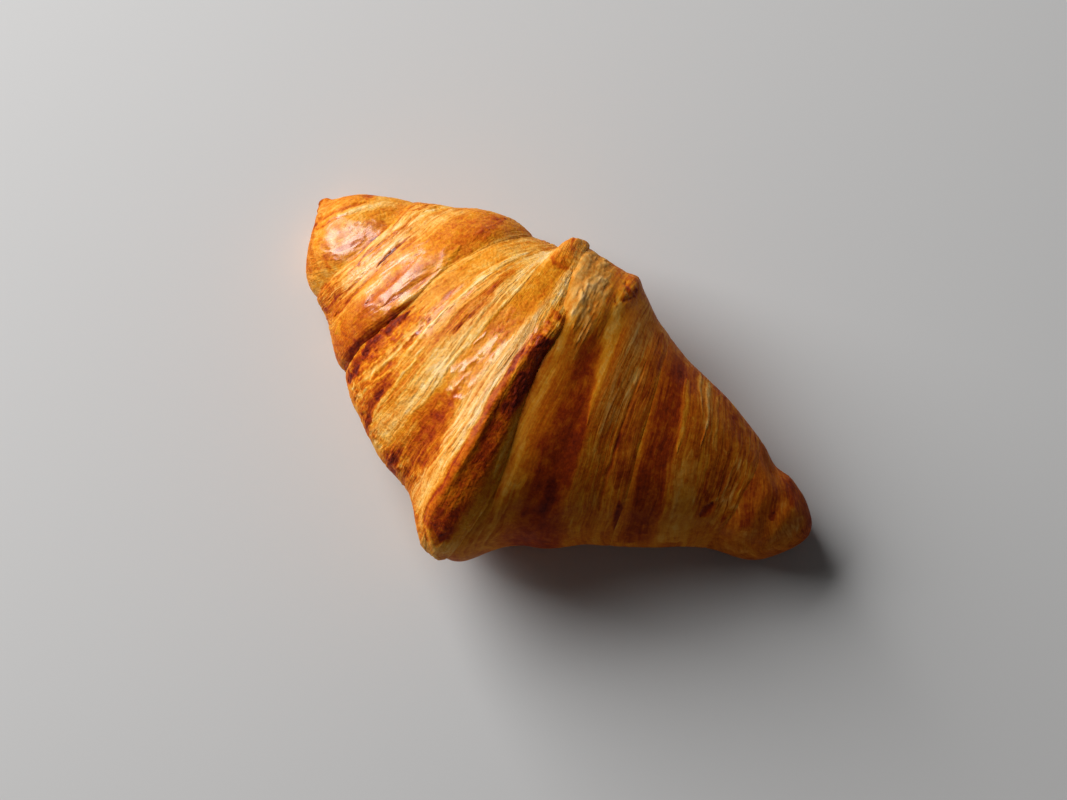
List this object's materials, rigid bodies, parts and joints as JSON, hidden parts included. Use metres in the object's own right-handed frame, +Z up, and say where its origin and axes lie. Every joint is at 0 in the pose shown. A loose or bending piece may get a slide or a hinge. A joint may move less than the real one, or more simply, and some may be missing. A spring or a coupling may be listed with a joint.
{
  "type": "croissant",
  "caption": "A baked butter croissant, straight rather than curved, its overlapping wraps rising from two blunt tips to a raised crown ridge; it lies on its flat underside.",
  "frame": {"origin": "on the surface it rests on, under the middle of the bounding box", "axes": "+X along the roll from one tip to the other, +Y across it away from the bulging side, +Z up from the flat underside"},
  "size_m": [0.165, 0.0952, 0.0601],
  "materials": {
    "crust": "egg-washed laminated crust, semi-gloss golden brown on the wraps, matte and paler at the cut dough edges"
  },
  "bodies": {
    "root": {"croissant": "crust"}
  },
  "joints": []
}
